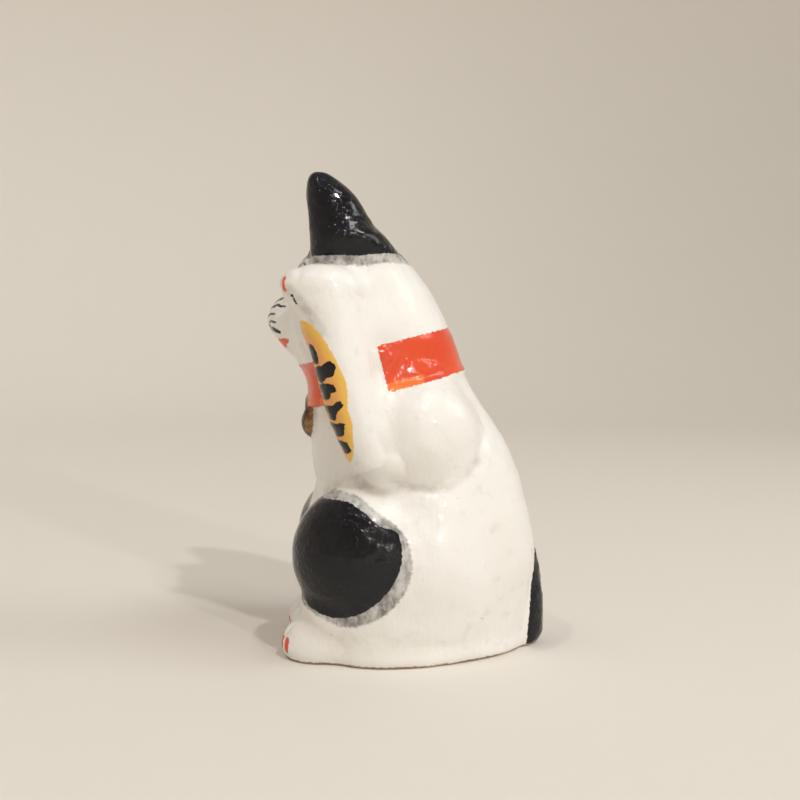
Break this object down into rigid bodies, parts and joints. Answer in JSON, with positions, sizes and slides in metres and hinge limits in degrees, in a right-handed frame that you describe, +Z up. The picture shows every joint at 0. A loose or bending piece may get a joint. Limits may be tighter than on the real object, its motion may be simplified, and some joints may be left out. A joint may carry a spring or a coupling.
{
  "type": "beckoning cat figurine",
  "caption": "Small seated clay cat with its left foreleg raised beside its cheek, black ears, knee and tail, a red collar and a bell in relief.",
  "frame": {"origin": "centre of the bounding box's bottom face, on the surface that the cat stands on", "axes": "+Z up along the cat's height; the cat faces -Y and its raised left foreleg is on +X"},
  "size_m": [0.044, 0.0538, 0.09],
  "materials": {
    "white_ground": "brushed shell-white ground under a clear varnish, over fired clay",
    "black_paint": "thick glossy black paint under a clear varnish, over fired clay",
    "red_paint": "glossy orange-red paint under a clear varnish, over fired clay",
    "gold_paint": "dull brownish gold paint, over fired clay",
    "bare_clay": "unpainted low-fired clay underneath, white ground carried round its edge"
  },
  "bodies": {
    "root": {"body_front_shell": "white_ground", "body_rear_shell": "white_ground", "base_slab": "bare_clay", "left_ear": "black_paint", "right_ear": "black_paint", "raised_left_foreleg": "white_ground", "resting_right_foreleg": "white_ground", "left_hind_foot": "white_ground", "right_hind_foot": "white_ground", "tail": "black_paint", "collar_band": "red_paint", "bell": "gold_paint", "bell_loop": "red_paint"}
  },
  "joints": []
}
